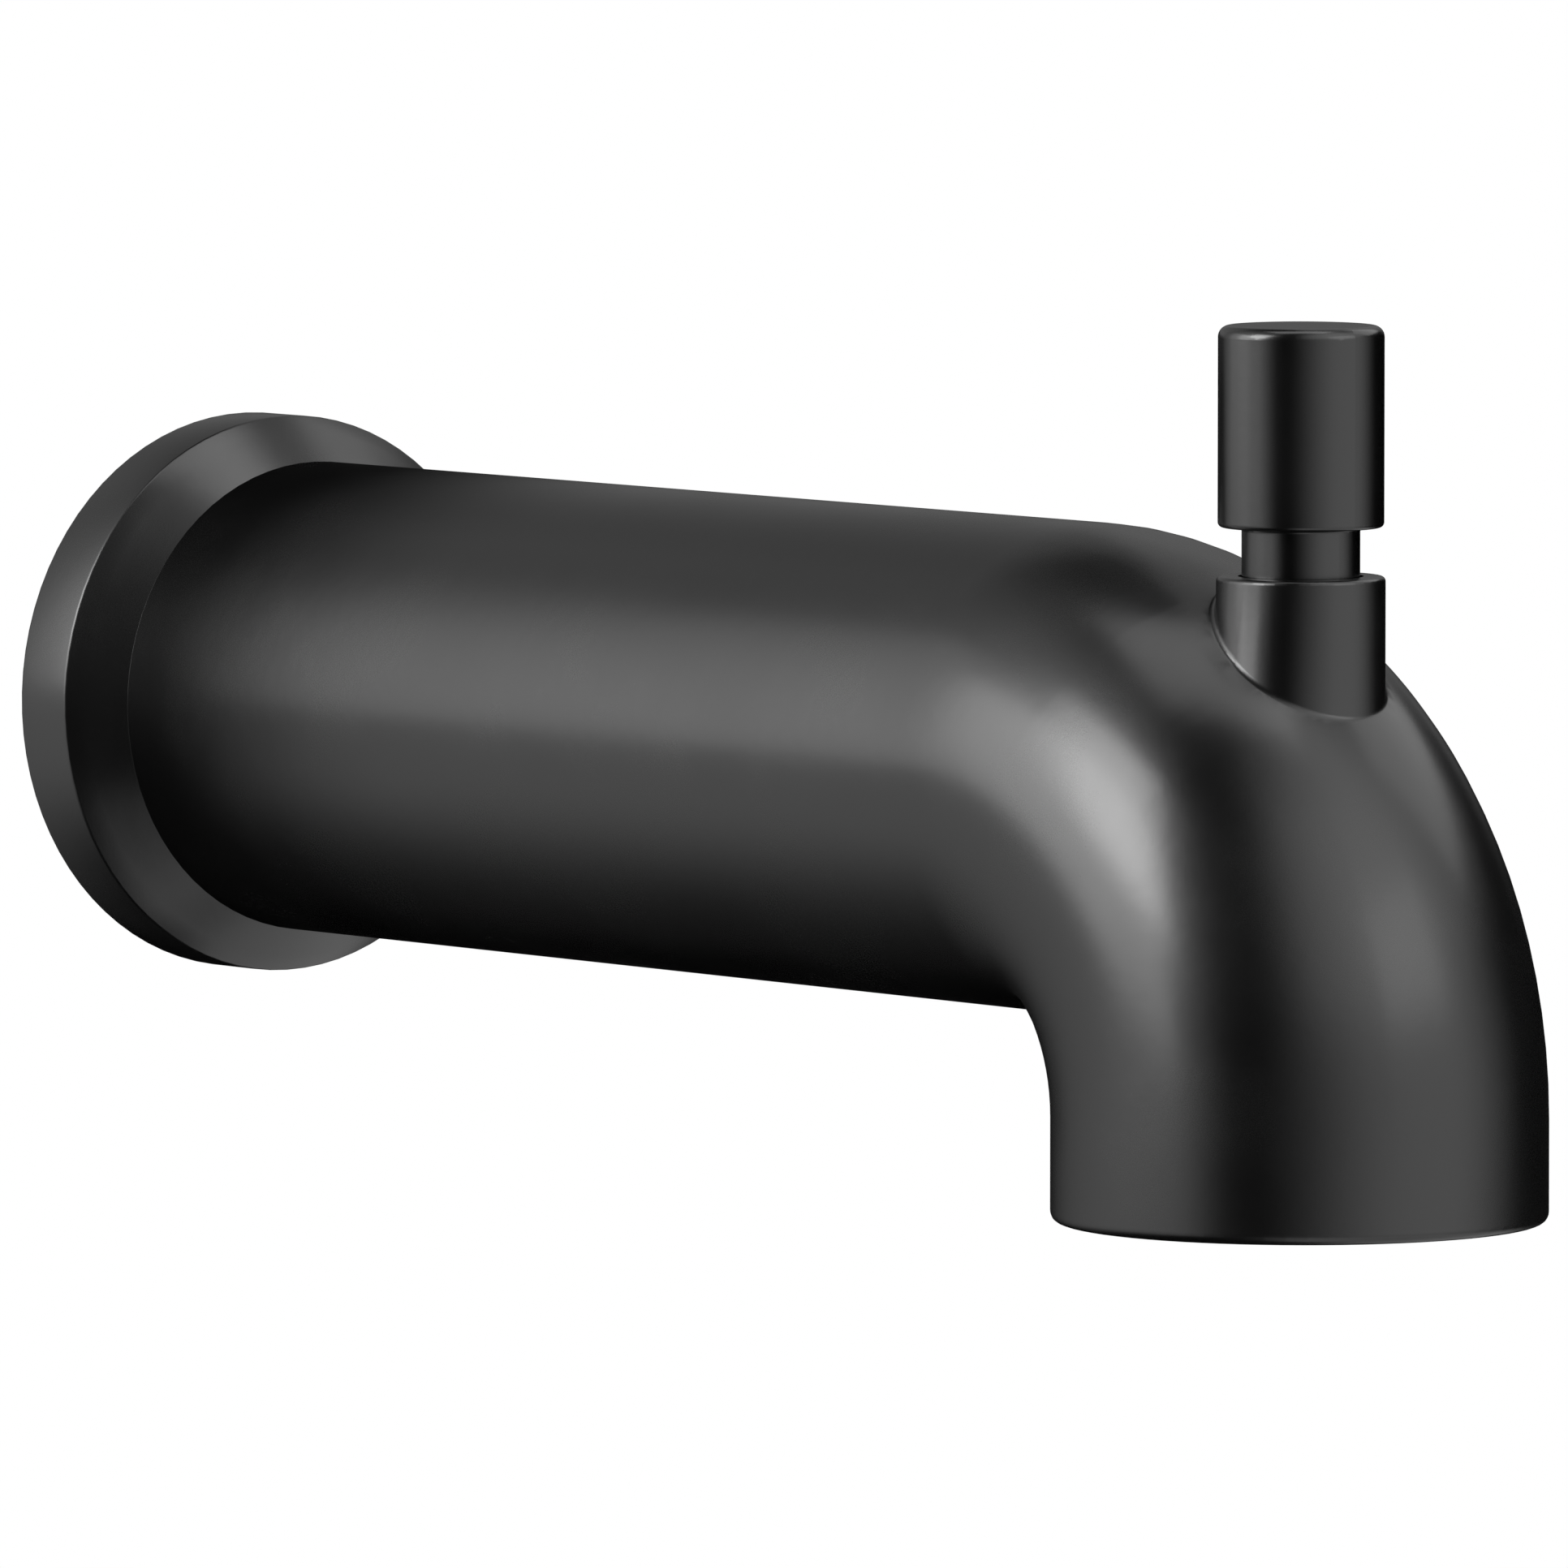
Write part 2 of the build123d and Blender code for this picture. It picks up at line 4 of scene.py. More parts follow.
import bpy
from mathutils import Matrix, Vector


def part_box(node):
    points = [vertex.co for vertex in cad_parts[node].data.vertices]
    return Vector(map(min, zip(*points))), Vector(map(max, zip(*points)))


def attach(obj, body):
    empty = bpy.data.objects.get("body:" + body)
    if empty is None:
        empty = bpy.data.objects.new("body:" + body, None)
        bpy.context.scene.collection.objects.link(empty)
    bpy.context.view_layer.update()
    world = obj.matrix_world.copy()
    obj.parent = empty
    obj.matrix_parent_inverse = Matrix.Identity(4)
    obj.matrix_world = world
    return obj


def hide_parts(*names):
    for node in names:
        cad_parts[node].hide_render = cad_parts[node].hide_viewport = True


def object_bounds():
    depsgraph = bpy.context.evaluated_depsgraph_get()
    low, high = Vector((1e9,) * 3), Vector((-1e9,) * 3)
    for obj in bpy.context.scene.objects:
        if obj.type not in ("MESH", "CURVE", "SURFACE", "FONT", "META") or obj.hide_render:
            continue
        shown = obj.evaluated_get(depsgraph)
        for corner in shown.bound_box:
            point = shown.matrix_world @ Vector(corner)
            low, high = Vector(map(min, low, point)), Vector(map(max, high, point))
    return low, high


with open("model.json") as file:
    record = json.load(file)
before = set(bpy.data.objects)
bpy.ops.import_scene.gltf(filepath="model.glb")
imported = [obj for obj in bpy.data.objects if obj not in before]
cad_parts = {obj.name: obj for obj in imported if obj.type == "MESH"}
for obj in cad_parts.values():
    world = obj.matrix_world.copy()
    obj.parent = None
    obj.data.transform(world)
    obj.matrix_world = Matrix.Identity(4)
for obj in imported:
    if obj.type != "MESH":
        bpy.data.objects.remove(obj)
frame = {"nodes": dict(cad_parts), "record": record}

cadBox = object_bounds()
nodes = frame["nodes"]
record = frame["record"]
mm = 0.001
noiseMiddle = 0.5          # a noise texture swings about this value
mergeGap = 0.001 * mm      # corners of a copied node that are one point
print("frame loaded:", len(nodes), "nodes")


class Wire:
    # one socket of a node tree; arithmetic on it adds Math nodes
    def __init__(self, tree, socket=None):
        self.tree = tree
        self.socket = socket

    def plug(self, entry, value):
        if isinstance(value, Wire):
            self.tree.links.new(value.socket, entry)
        else:
            entry.default_value = value

    def add(self, kind, settings=None, values=None, out=0):
        # any other node: settings first, then the values or links of its sockets
        node = self.tree.nodes.new("ShaderNode" + kind)
        for name, value in (settings or {}).items():
            setattr(node, name, value)
        for name, value in (values or {}).items():
            self.plug(node.inputs[name], value)
        return Wire(self.tree, node.outputs[out])

    def math(self, operation, *entries):
        return self.add("Math", {"operation": operation}, dict(enumerate(entries)))

    def __add__(self, other):
        return self.math("ADD", self, other)

    def __sub__(self, other):
        return self.math("SUBTRACT", self, other)

    def __rsub__(self, other):
        return self.math("SUBTRACT", other, self)

    def __mul__(self, other):
        return self.math("MULTIPLY", self, other)

    def __pow__(self, other):
        return self.math("POWER", self, other)

    __radd__ = __add__
    __rmul__ = __mul__

    def atLeast(self, least):
        return self.math("MAXIMUM", self, least)

    def step(self, start, end, low=0.0, high=1.0):
        # smooth way from low at start to high at end
        values = {"Value": self, "From Min": start, "From Max": end, "To Min": low, "To Max": high}
        return self.add("MapRange", {"interpolation_type": "SMOOTHSTEP"}, values)

    def tint(self, low, high):
        # colour from low to high as this value goes from 0 to 1
        return self.add("Mix", {"data_type": "RGBA"}, {0: self, 6: low, 7: high}, out=2)


def grey(level, warm=0.0):
    return (level * (1 + warm), level, level * (1 - warm), 1)


def newFinish(name):
    material = bpy.data.materials.new(name)
    material.use_nodes = True
    pen = Wire(material.node_tree)
    shader = material.node_tree.nodes["Principled BSDF"]
    spot = pen.add("TexCoord", out="Object")
    return material, pen, shader, spot


def setShader(pen, shader, values):
    for name, value in values.items():
        pen.plug(shader.inputs[name], value)


def noise(pen, spot, scale=1.0, detail=3, stretch=None):
    if stretch:
        spot = pen.add("Mapping", {}, {"Vector": spot, "Scale": stretch})
    values = {"Vector": spot, "Scale": scale, "Detail": detail}
    return pen.add("TexNoise", {}, values, out="Fac")


def bump(pen, height, depth=1.0, strength=1.0):
    values = {"Height": height, "Distance": depth, "Strength": strength}
    return pen.add("Bump", {}, values, out="Normal")


def axes(pen, spot):
    return [pen.add("SeparateXYZ", {}, {"Vector": spot}, out=axis) for axis in "XYZ"]


def rayKinds(pen):
    kinds = ("Is Camera Ray", "Is Glossy Ray", "Is Transmission Ray")
    return [pen.add("LightPath", out=kind) for kind in kinds]


def paint(names, material):
    for name in names:
        mesh = nodes[name].data
        mesh.materials.clear()
        mesh.materials.append(material)


# Satin black coat of the casting; it thins out to bare cast metal inside

spoutCoat = {
    "black": grey(0.0030), "worn": grey(0.0050), "wornSpan": (0.35, 0.75), "ior": 1.7,
    "gloss": (0.23, 0.28), "glossSpan": (0.3, 0.7),    # gloss is the least and the most roughness
    "mottleScale": 55,
    "peelScale": 620, "peelDepth": 0.006 * mm,
    "grainScale": 5200, "grainDepth": 0.0025 * mm, "grainRough": 0.04,
    "bareMetal": grey(0.36, -0.012), "bareRough": (0.42, 0.62), "bareSpan": (0.25, 0.75),
    "castScale": 1500, "castDepth": 0.04 * mm,
    "coatLine": 22.4 * mm, "coatFade": 0.7 * mm,       # coat ends this far from the bore's middle line
    "overspray": (6 * mm, 15 * mm),                    # and thins out between these heights in the mouth
    "driftScale": 260, "drift": 1.2 * mm,              # both lines wander by this much,
    "mouthDrift": 3,                                   # times this in the mouth
}
tube = {"straight": 137 * mm, "bend": 31.8 * mm}


def boreDistance(x, y, z):
    # distance from the spout's middle line: straight, then round the elbow, then down
    along = (x - tube["straight"]).atLeast(0)
    above = (z + tube["bend"]).atLeast(0)
    ring = (along * along + above * above) ** 0.5 - tube["bend"]
    return (ring * ring + y * y) ** 0.5


def satinCoat(name, look, bareInside):
    material, pen, shader, spot = newFinish(name)
    mottle = noise(pen, spot, look["mottleScale"], detail=4)
    grain = noise(pen, spot, look["grainScale"], detail=2)
    peel = noise(pen, spot, look["peelScale"], detail=1)
    rough = mottle.step(*look["glossSpan"], *look["gloss"]) + (grain - noiseMiddle) * look["grainRough"]
    colour = mottle.step(*look["wornSpan"]).tint(look["black"], look["worn"])
    height = peel * look["peelDepth"] + grain * look["grainDepth"]
    values = {"IOR": look["ior"]}
    if bareInside:
        x, y, z = axes(pen, spot)
        drift = (noise(pen, spot, look["driftScale"]) - noiseMiddle) * look["drift"]
        edge = look["coatLine"]
        inside = (boreDistance(x, y, z) + drift).step(edge, edge - look["coatFade"])
        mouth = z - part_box("spout_body")[0].z
        bare = inside * (mouth + drift * look["mouthDrift"]).step(*look["overspray"])
        cast = noise(pen, spot, look["castScale"], detail=4)
        bareRough = cast.step(*look["bareSpan"], *look["bareRough"])
        colour = bare.tint(colour, look["bareMetal"])
        rough = rough * (1 - bare) + bareRough * bare
        height = height * (1 - bare) + cast * look["castDepth"] * bare
        values["Metallic"] = bare
    values |= {"Base Color": colour, "Roughness": rough, "Normal": bump(pen, height)}
    setShader(pen, shader, values)
    return material


paint(["spout_body"], satinCoat("spoutSatinBlack", spoutCoat, bareInside=True))
knobCoat = spoutCoat | {"peelDepth": 0.004 * mm, "gloss": (0.20, 0.24)}
paint(["diverter_knob"], satinCoat("knobSatinBlack", knobCoat, bareInside=False))
print("satin coats done")


# Closed-cell foam ring behind the flange

foam = {
    "dark": grey(0.10), "light": grey(0.19), "rough": 0.85,
    "cellScale": 1500, "pitSpan": (0.1, 0.7), "pitDepth": 0.06 * mm,
    "blotchScale": 180, "pitShadeShare": 0.6,    # the pits are painted darker this much, a painted shade in the hollows, else the colour follows the blotches
}


def foamFinish(look):
    material, pen, shader, spot = newFinish("gasketFoam")
    cells = pen.add("TexVoronoi", {}, {"Vector": spot, "Scale": look["cellScale"]}, out="Distance")
    pits = cells.step(*look["pitSpan"])
    blotch = noise(pen, spot, look["blotchScale"], detail=4)
    # painted shade in the pits, the low spots of the bump, mixed with the foam's own blotchy tone
    shade = pits * look["pitShadeShare"] + blotch * (1 - look["pitShadeShare"])
    setShader(pen, shader, {
        "Base Color": shade.tint(look["dark"], look["light"]),
        "Roughness": look["rough"],
        "Normal": bump(pen, pits, look["pitDepth"]),
    })
    return material


paint(["wall_gasket"], foamFinish(foam))


# Machined brass: turning lines along the bushing, faced rings on its back

brass = {
    "clean": (0.78, 0.57, 0.25, 1), "dull": (0.56, 0.39, 0.17, 1), "dullSpan": (0.35, 0.8),
    "gloss": (0.22, 0.42), "glossSpan": (0.3, 0.75), "tarnishScale": 160,
    "feed": 0.22 * mm, "lineDepth": 0.012 * mm, "lineStrength": 0.6, "lineRough": 0.03,
    "chatterScale": 700, "chatter": 1.5,
}


def brassFinish(look):
    material, pen, shader, spot = newFinish("bushingBrass")
    x, y, z = axes(pen, spot)
    radius = (y * y + z * z) ** 0.5
    chatter = noise(pen, spot, look["chatterScale"], detail=2) * look["chatter"]
    lines = pen.math("SINE", (x + radius) * (math.tau / look["feed"]) + chatter)
    tarnish = noise(pen, spot, look["tarnishScale"], detail=5)
    setShader(pen, shader, {
        "Base Color": tarnish.step(*look["dullSpan"]).tint(look["clean"], look["dull"]),
        "Metallic": 1.0,
        "Roughness": tarnish.step(*look["glossSpan"], *look["gloss"]) + lines * look["lineRough"],
        "Normal": bump(pen, lines, look["lineDepth"], look["lineStrength"]),
    })
    return material


paint(["inlet_bushing"], brassFinish(brass))


# Moulded rubber rings, with a pale bloom

rubber = {
    "black": grey(0.016), "bloom": grey(0.05), "bloomScale": 420, "bloomSpan": (0.45, 0.8),
    "gloss": (0.55, 0.75), "glossSpan": (0.3, 0.7), "skinScale": 2600, "skinDepth": 0.015 * mm,
}


def rubberFinish(look):
    material, pen, shader, spot = newFinish("sealRubber")
    bloom = noise(pen, spot, look["bloomScale"], detail=5)
    skin = noise(pen, spot, look["skinScale"])
    setShader(pen, shader, {
        "Base Color": bloom.step(*look["bloomSpan"]).tint(look["black"], look["bloom"]),
        "Roughness": bloom.step(*look["glossSpan"], *look["gloss"]),
        "Normal": bump(pen, skin, look["skinDepth"]),
    })
    return material


paint(["inlet_o_ring", "spigot_o_ring", "stem_seal", "gate_seal"], rubberFinish(rubber))


# Moulded plastics: spark-eroded skin and faint flow marks

greyPlastic = {
    "light": grey(0.62, 0.012), "dark": grey(0.52, 0.02), "gloss": (0.42, 0.55),
    "flow": (20, 90, 90), "flowSpan": (0.3, 0.75),         # flow marks run along the tube
    "skinScale": 2400, "skinSpan": (0.3, 0.7), "skinDepth": 0.02 * mm,
}
ivoryPlastic = greyPlastic | {
    "light": (0.80, 0.785, 0.73, 1), "dark": (0.70, 0.675, 0.60, 1), "gloss": (0.30, 0.40),
    "flow": (90, 90, 25), "skinScale": 3400, "skinDepth": 0.008 * mm,     # and here along the stem
}


def plasticFinish(name, look):
    material, pen, shader, spot = newFinish(name)
    flow = noise(pen, spot, detail=4, stretch=look["flow"])
    skin = noise(pen, spot, look["skinScale"])
    setShader(pen, shader, {
        "Base Color": flow.step(*look["flowSpan"]).tint(look["light"], look["dark"]),
        "Roughness": skin.step(*look["skinSpan"], *look["gloss"]),
        "Normal": bump(pen, skin, look["skinDepth"]),
    })
    return material


paint(["waterway", "gate_housing", "seat_plate"], plasticFinish("waterwayPlastic", greyPlastic))
paint(["stem_bush", "gate"], plasticFinish("bushPlastic", ivoryPlastic))


# Steel: long drawn lines on the rod, short turned marks on the screws

rodSteel = {
    "bright": grey(0.62), "dark": grey(0.48), "smudgeScale": 240, "smudgeSpan": (0.3, 0.8),
    "lines": (5200, 5200, 90), "lineSpan": (0.25, 0.75), "lineDepth": 0.006 * mm, "gloss": (0.2, 0.36),
}
screwSteel = rodSteel | {
    "bright": grey(0.56, 0.02), "dark": grey(0.42, 0.03),
    "lines": (2600, 900, 900), "lineDepth": 0.01 * mm, "gloss": (0.28, 0.46),
}


def steelFinish(name, look):
    material, pen, shader, spot = newFinish(name)
    lines = noise(pen, spot, stretch=look["lines"])
    smudge = noise(pen, spot, look["smudgeScale"], detail=4)
    setShader(pen, shader, {
        "Base Color": smudge.step(*look["smudgeSpan"]).tint(look["bright"], look["dark"]),
        "Metallic": 1.0,
        "Roughness": lines.step(*look["lineSpan"], *look["gloss"]),
        "Normal": bump(pen, lines, look["lineDepth"]),
    })
    return material


paint(["lift_rod"], steelFinish("rodSteel", rodSteel))
paint(["waterway_screws"], steelFinish("screwSteel", screwSteel))
print("finishes done")


def deselectAll():
    bpy.ops.object.select_all(action="DESELECT")


def makeActive(piece):
    deselectAll()
    piece.select_set(True)
    bpy.context.view_layer.objects.active = piece


def mergeVertices(piece, gap):
    makeActive(piece)
    bpy.ops.object.mode_set(mode="EDIT")
    bpy.ops.mesh.select_all(action="SELECT")
    bpy.ops.mesh.remove_doubles(threshold=gap)
    bpy.ops.object.mode_set(mode="OBJECT")


def copyNode(node, name):
    # the copy keeps the node's finish; its own normals go, because the corners are merged
    piece = bpy.data.objects.new(name, nodes[node].data.copy())
    bpy.context.scene.collection.objects.link(piece)
    makeActive(piece)
    bpy.ops.mesh.customdata_custom_splitnormals_clear()
    mergeVertices(piece, mergeGap)
    return piece


# Casting: its rounded edges come from the CAD in uneven facets, so a copy gets them anew

cleanEdges = {
    "cuts": 5, "smoothness": 0.65, "slack": 0.02 * mm, "smoothAngle": 34,
    "rounds": [  # along the axis, and out from it
        {"axis": "tube", "along": (0, 0.5 * mm), "out": (28.0 * mm, 28.5 * mm)},             # flange, back
        {"axis": "stem", "along": (-41.8 * mm, -40.7 * mm), "out": (22.9 * mm, 24 * mm)},    # mouth, outside
        {"axis": "stem", "along": (-41.8 * mm, -40.7 * mm), "out": (21 * mm, 22.1 * mm)},    # mouth, inside
        {"axis": "stem", "along": (19.94 * mm, 20.44 * mm), "out": (7.65 * mm, 8.15 * mm)},  # boss, top
    ],
}


def isWithin(value, limits, slack):
    return limits[0] - slack < value < limits[1] + slack


def onRound(place, edge, slack):
    if edge["axis"] == "tube":
        along, out = place.x, math.hypot(place.y, place.z)
    else:
        along, out = place.z, math.hypot(place.x - tube["straight"] - tube["bend"], place.y)
    return isWithin(along, edge["along"], slack) and isWithin(out, edge["out"], slack)


def redrawRound(piece, faces, look):
    bpy.ops.object.mode_set(mode="EDIT")
    bpy.ops.mesh.select_mode(type="FACE")
    bpy.ops.mesh.select_all(action="DESELECT")
    bpy.ops.object.mode_set(mode="OBJECT")
    for index in faces:
        piece.data.polygons[index].select = True
    bpy.ops.object.mode_set(mode="EDIT")
    bpy.ops.mesh.delete(type="FACE")
    bpy.ops.mesh.select_mode(type="EDGE")
    bpy.ops.mesh.select_non_manifold(extend=False)
    bpy.ops.mesh.bridge_edge_loops(
        number_cuts=look["cuts"], interpolation="SURFACE", smoothness=look["smoothness"])
    bpy.ops.mesh.select_mode(type="VERT")      # an extrude in edge mode winds its faces the other way
    bpy.ops.object.mode_set(mode="OBJECT")


def cleanCasting(look):
    casting = copyNode("spout_body", "spoutCasting")
    mesh = casting.data
    for edge in look["rounds"]:
        faces = [
            face.index for face in mesh.polygons
            if all(onRound(mesh.vertices[i].co, edge, look["slack"]) for i in face.vertices)]
        redrawRound(casting, faces, look)
    bpy.ops.object.shade_smooth_by_angle(angle=math.radians(look["smoothAngle"]))
    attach(casting, "spout")
    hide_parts("spout_body")
    return casting


casting = cleanCasting(cleanEdges)
print("casting redrawn:", len(casting.data.polygons), "faces")


# Pipe thread in the bushing: the plain hole gets its 60 degree helical groove

pipeThread = {
    "pitch": 25.4 / 14 * mm,
    "depth": 1.28 * mm,
    "overlap": 0.15 * mm,      # the cutter stands this far into the open hole
    "lead": 1.2 * mm,          # it starts this far outside the hole's mouth
    "turns": 8, "stepsPerTurn": 56, "smoothAngle": 32,
    "slivers": 0.004 * mm,     # corners nearer than this are merged after the cut
}


def threadCutter(cut, start, holeRadius):
    # a three-sided circle is the thread's own 60 degree triangle, point outwards
    heightInRadii = 1.5
    radius = (cut["depth"] + cut["overlap"]) / heightInRadii
    deselectAll()
    bpy.ops.mesh.primitive_circle_add(
        vertices=3, radius=radius, fill_type="NOTHING", rotation=(math.pi / 2, 0, 0),
        location=(start - cut["lead"], 0, holeRadius + cut["depth"] - radius))
    cutter = bpy.context.object
    bpy.ops.object.transform_apply(location=True, rotation=True, scale=True)
    screw = cutter.modifiers.new("helix", "SCREW")
    screw.axis = "X"
    screw.screw_offset = cut["pitch"]
    screw.iterations = cut["turns"]
    screw.steps = screw.render_steps = cut["stepsPerTurn"]
    bpy.ops.object.modifier_apply(modifier=screw.name)
    bpy.ops.object.mode_set(mode="EDIT")
    bpy.ops.mesh.select_all(action="SELECT")
    bpy.ops.mesh.fill_holes(sides=0)
    bpy.ops.mesh.select_all(action="SELECT")
    bpy.ops.mesh.normals_make_consistent(inside=False)
    bpy.ops.object.mode_set(mode="OBJECT")
    return cutter


def threadedBushing(cut):
    mount = next(m for m in record["mounts"] if m["name"] == "inlet_thread")
    cutter = threadCutter(cut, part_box("inlet_bushing")[0].x, mount["dims"]["r_mm"] * mm)
    bushing = copyNode("inlet_bushing", "threadedBushing")
    groove = bushing.modifiers.new("groove", "BOOLEAN")
    groove.operation = "DIFFERENCE"
    groove.solver = "EXACT"
    groove.object = cutter
    bpy.ops.object.modifier_apply(modifier=groove.name)
    mergeVertices(bushing, cut["slivers"])
    bpy.ops.object.mode_set(mode="EDIT")
    bpy.ops.mesh.dissolve_degenerate(threshold=cut["slivers"])
    bpy.ops.mesh.select_all(action="SELECT")
    bpy.ops.mesh.quads_convert_to_tris(quad_method="BEAUTY", ngon_method="BEAUTY")
    bpy.ops.object.mode_set(mode="OBJECT")
    bpy.ops.object.shade_smooth_by_angle(angle=math.radians(cut["smoothAngle"]))
    bpy.data.objects.remove(cutter)
    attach(bushing, "spout")
    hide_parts("inlet_bushing")
    return bushing


threaded = threadedBushing(pipeThread)
print("pipe thread cut:", len(threaded.data.polygons), "faces")


# Camera at the photo's viewpoint: swing is from +X towards -Y, lift is up from level

viewpoint = {
    "target": Vector((81.6, 0, 0)) * mm, "swing": 38.415, "lift": 4.279, "reach": 1.93318,
    "lens": 445.76, "sensor": 36.0, "shift": (0.03042, -0.03112),
}


def aim(swing, lift):
    swing, lift = math.radians(swing), math.radians(lift)
    return Vector((math.cos(lift) * math.cos(swing), -math.cos(lift) * math.sin(swing), math.sin(lift)))


def placeFacing(thing, target, swing, lift, reach):
    away = aim(swing, lift)
    thing.location = target + away * reach
    thing.rotation_euler = away.to_track_quat("Z", "Y").to_euler()


def addCamera(look):
    data = bpy.data.cameras.new("photoCamera")
    data.lens, data.sensor_width = look["lens"], look["sensor"]
    data.shift_x, data.shift_y = look["shift"]
    camera = bpy.data.objects.new("photoCamera", data)
    bpy.context.scene.collection.objects.link(camera)
    placeFacing(camera, look["target"], look["swing"], look["lift"], look["reach"])
    bpy.context.scene.camera = camera


addCamera(viewpoint)


# Studio lamps, round a point on the near side of the elbow, with swing and lift as the camera has them

elbowSide = Vector((150, -24, 0)) * mm
softBoxes = {
    "keyCore": {"swing": 105, "lift": 31, "reach": 2.4, "size": (1.08, 1.32), "power": 22.0},
    "keyWide": {"swing": 117, "lift": 18, "reach": 2.4, "size": (1.80, 1.40), "power": 15.8},
    "sideBox": {"swing": 136, "lift": 20, "reach": 0.45, "size": (0.36, 0.32), "power": 0.20},
    "frontBox": {"swing": -22, "lift": 25, "reach": 1.3, "size": (0.80, 0.50), "power": 0.95},
    "topBox": {"swing": 218, "lift": 89, "reach": 1.6, "size": (1.20, 0.80), "power": 4.2},
    "crownBox": {"swing": -90, "lift": 37, "reach": 0.7, "size": (0.50, 0.36), "power": 0.42},
}


def addSoftBox(name, box):
    data = bpy.data.lights.new(name, "AREA")
    data.shape = "RECTANGLE"
    data.size, data.size_y = box["size"]
    data.energy = box["power"]
    lamp = bpy.data.objects.new(name, data)
    bpy.context.scene.collection.objects.link(lamp)
    placeFacing(lamp, elbowSide, box["swing"], box["lift"], box["reach"])
    lamp.visible_camera = False


for boxName, box in softBoxes.items():
    addSoftBox(boxName, box)


# White room: reflections show its panels, with darkness between them; angles are in degrees,
# round from the camera to its left, and up from level

room = {
    "fill": 0.30, "white": 1.0,
    "panels": [  # each fades in between its first two angles and out between the last two
        {"round": (34, 62, 84, 170), "up": (-48, -16, 44, 75), "level": 0.75},       # left
        {"round": (-122, -72, -54, 22), "up": (-48, -14, 58, 90), "level": 0.98},    # right
        {"round": (-200, -190, -100, -50), "up": (12, 30, 75, 90), "level": 0.40},   # high, behind
        {"round": (-178, -150, -8, 30), "up": (-88, -72, -40, -24), "level": 0.72},  # low, right
        {"round": (-95, -50, -15, 12), "up": (8, 26, 50, 66), "level": 0.45},        # above, right
        {"round": (128, 150, 190, 200), "up": (0, 8, 38, 48), "level": 0.22},        # behind, left half
        {"round": (-200, -190, -168, -150), "up": (0, 8, 12, 30), "level": 0.22},    # and right half
    ],
}


def inBand(angle, stops):
    return angle.step(*stops[:2]) * (1 - angle.step(*stops[2:]))


def panelLevel(around, up, panel):
    return inBand(around, panel["round"]) * inBand(up, panel["up"]) * panel["level"]


def addRoom(look):
    world = bpy.data.worlds.new("whiteRoom")
    bpy.context.scene.world = world
    world.use_nodes = True
    world.cycles.sampling_method = "NONE"      # ray kinds are told apart only on rays that bounce
    pen = Wire(world.node_tree)
    x, y, z = axes(pen, pen.add("TexCoord", out="Generated"))
    heading = math.radians(viewpoint["swing"])
    ahead = x * math.cos(heading) - y * math.sin(heading)
    left = x * -math.sin(heading) - y * math.cos(heading)
    around = pen.math("ARCTAN2", left, ahead) * math.degrees(1)
    up = pen.math("ARCSINE", z) * math.degrees(1)
    mirrored = sum(panelLevel(around, up, panel) for panel in look["panels"])
    toCamera, glossy, through = rayKinds(pen)
    level = (toCamera + through + glossy * mirrored) * look["white"]
    fill = pen.add("Background", {}, {"Color": grey(1.0), "Strength": look["fill"]})
    seen = pen.add("Background", {}, {"Color": level, "Strength": 1.0})
    mix = pen.add("MixShader", {}, {0: toCamera + glossy + through, 1: fill, 2: seen})
    pen.plug(world.node_tree.nodes["World Output"].inputs["Surface"], mix)


addRoom(room)


# Pale floor under the spout; it runs out into the white of the room

floorLook = {
    "below": 110 * mm, "radius": 620 * mm, "sides": 128, "fade": (220 * mm, 600 * mm),
    "pale": grey(0.80), "shade": grey(0.74), "rough": 0.6,
    "speckleScale": 900, "speckleSpan": (0.3, 0.7), "speckleDepth": 0.02 * mm,
}


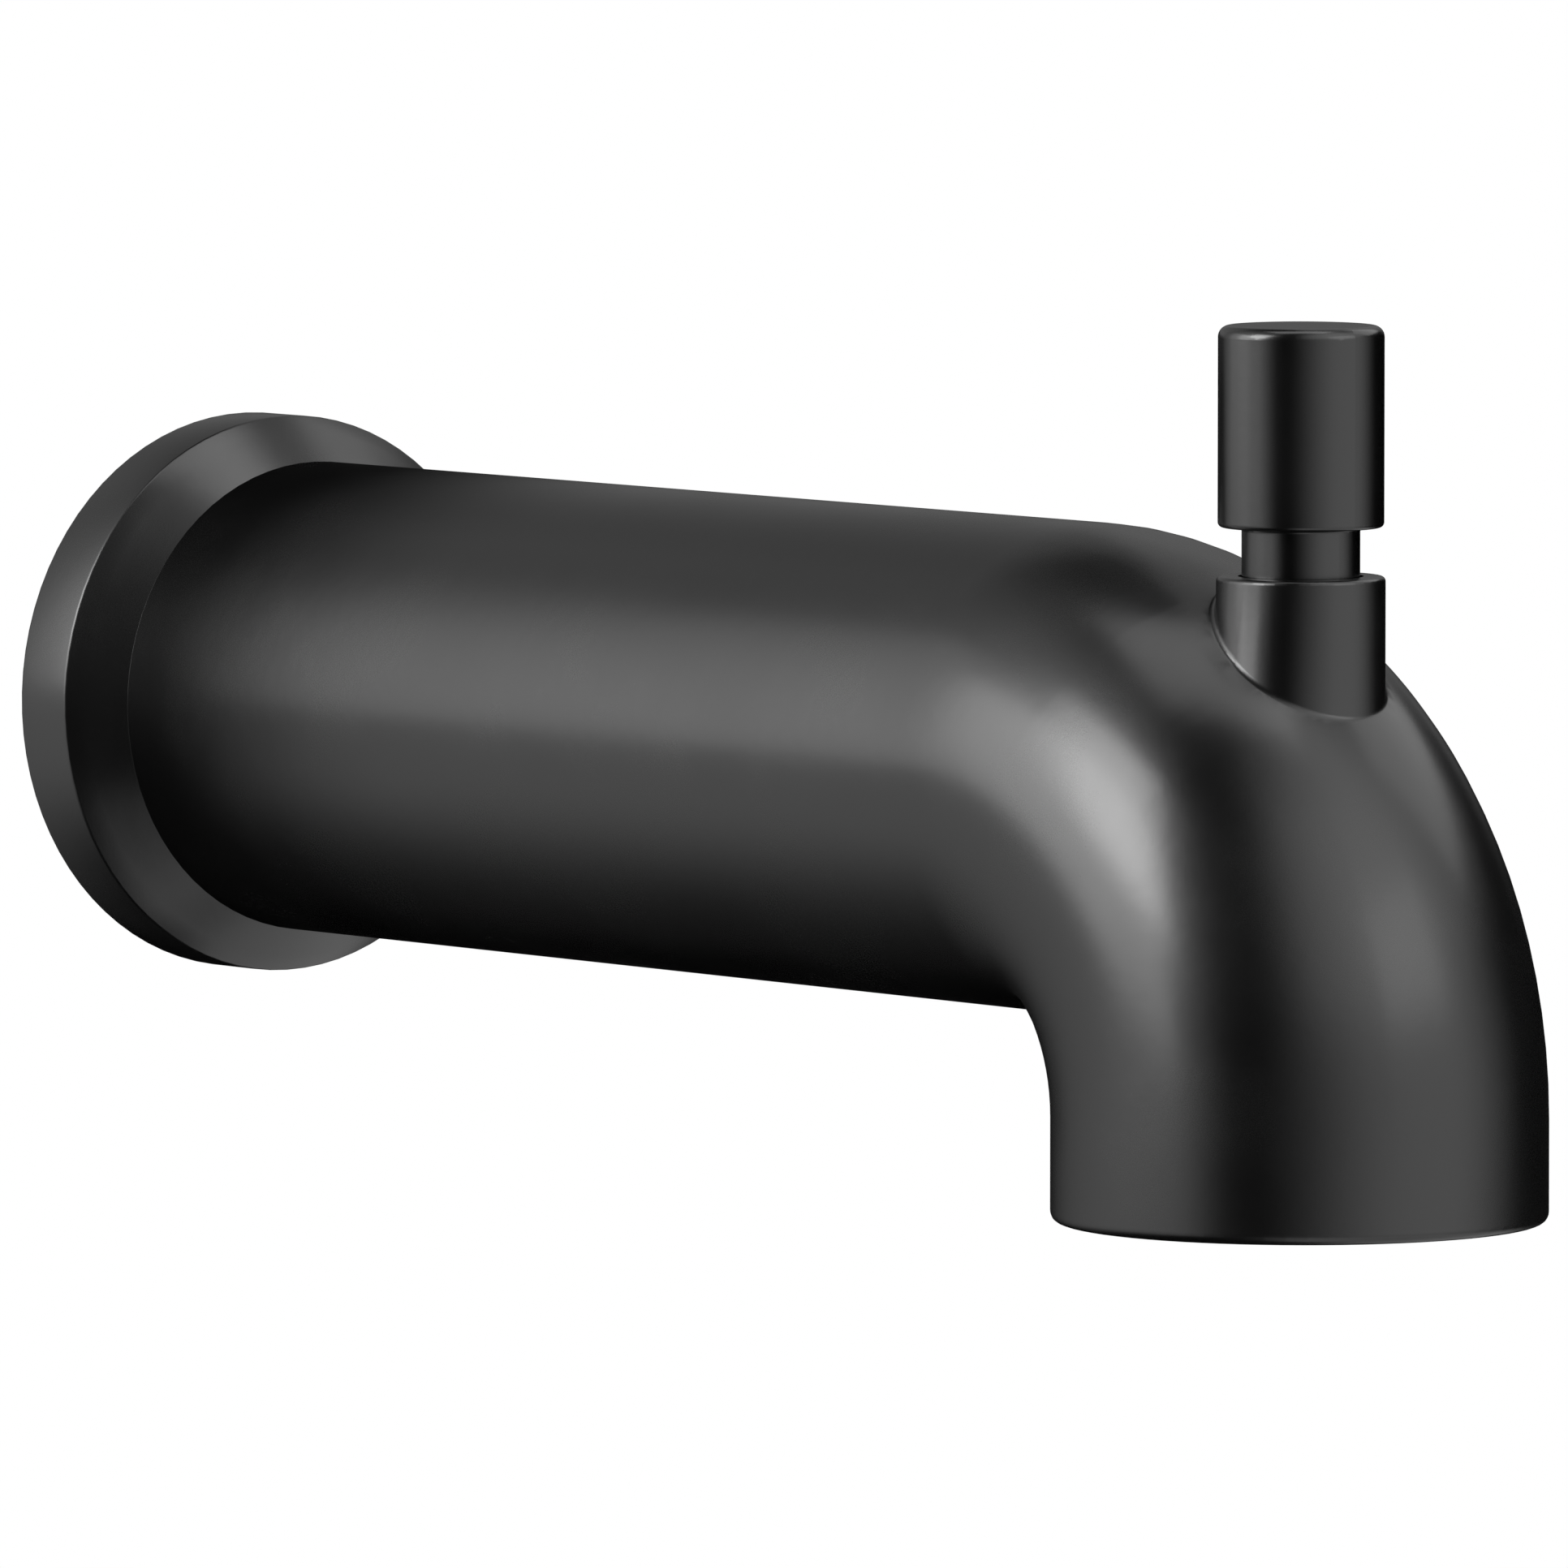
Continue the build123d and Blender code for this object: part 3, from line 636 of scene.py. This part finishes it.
def floorFinish(look):
    material, pen, shader, spot = newFinish("paleFloor")
    x, y, z = axes(pen, spot)
    reach = (x * x + y * y) ** 0.5
    speckle = noise(pen, spot, look["speckleScale"])
    setShader(pen, shader, {
        "Base Color": speckle.step(*look["speckleSpan"]).tint(look["pale"], look["shade"]),
        "Roughness": look["rough"],
        "Normal": bump(pen, speckle, look["speckleDepth"]),
    })
    white = pen.add("Emission", {}, {"Color": grey(1.0), "Strength": 1.0})
    fade = reach.step(*look["fade"]) * sum(rayKinds(pen))
    pale = Wire(pen.tree, shader.outputs["BSDF"])
    lit = pen.add("MixShader", {}, {0: fade, 1: pale, 2: white})
    # clear from below, so that the underside of the spout can be seen
    fromBelow = pen.add("NewGeometry", out="Backfacing")
    mix = pen.add("MixShader", {}, {0: fromBelow, 1: lit, 2: pen.add("BsdfTransparent")})
    pen.plug(material.node_tree.nodes["Material Output"].inputs["Surface"], mix)
    return material


def addFloor(look):
    middle = (Vector(cadBox[0]) + Vector(cadBox[1])) / 2
    deselectAll()
    bpy.ops.mesh.primitive_circle_add(vertices=look["sides"], radius=look["radius"], fill_type="NGON")
    floor = bpy.context.object
    floor.name = "paleFloor"
    floor.location = (middle.x, middle.y, cadBox[0][2] - look["below"])
    floor.data.materials.append(floorFinish(look))
    floor.visible_glossy = False               # the room's panels take its place in reflections


addFloor(floorLook)


# Painted shade: a dark ring in front of the flange, seen only in reflections, stands in for the flange's
# shade so the tube falls to black at the wall

flangeShadeFlag = {
    "place": 12.33 * mm, "inner": 23.6 * mm, "outer": 60 * mm, "sides": 96,
    "fade": (27 * mm, 57 * mm),    # black out to here, gone from there
}


def addFlangeShadeFlag(look):
    deselectAll()
    bpy.ops.mesh.primitive_circle_add(
        vertices=look["sides"], radius=look["inner"], fill_type="NOTHING", rotation=(0, math.pi / 2, 0),
        location=(look["place"], 0, 0))
    flag = bpy.context.object
    flag.name = "flangeShadeFlag"
    bpy.ops.object.transform_apply(location=True, rotation=True, scale=True)
    bpy.ops.object.mode_set(mode="EDIT")
    bpy.ops.mesh.select_all(action="SELECT")
    grow = look["outer"] / look["inner"]
    bpy.ops.mesh.extrude_region_move()
    bpy.ops.transform.resize(value=(1, grow, grow), center_override=(look["place"], 0, 0))
    bpy.ops.object.mode_set(mode="OBJECT")     # its faces look along +X, away from the wall
    material, pen, shader, spot = newFinish("flagPaintedShade")
    x, y, z = axes(pen, spot)
    # painted shade: black next to the tube, fading out away from it
    dark = ((y * y + z * z) ** 0.5).step(*look["fade"], 1.0, 0.0)
    towardsWall = 1 - pen.add("NewGeometry", out="Backfacing")    # only rays from the tube meet it
    # black with no shine: this is the painted shade the tube reflects near the flange
    values = {"Base Color": grey(0.0), "Specular IOR Level": 0.0, "Alpha": dark * towardsWall}
    setShader(pen, shader, values)
    flag.data.materials.append(material)
    flag.visible_camera = flag.visible_diffuse = flag.visible_shadow = flag.visible_transmission = False


addFlangeShadeFlag(flangeShadeFlag)
bpy.context.scene.view_settings.view_transform = "Standard"
print("camera, lamps, room and floor done")
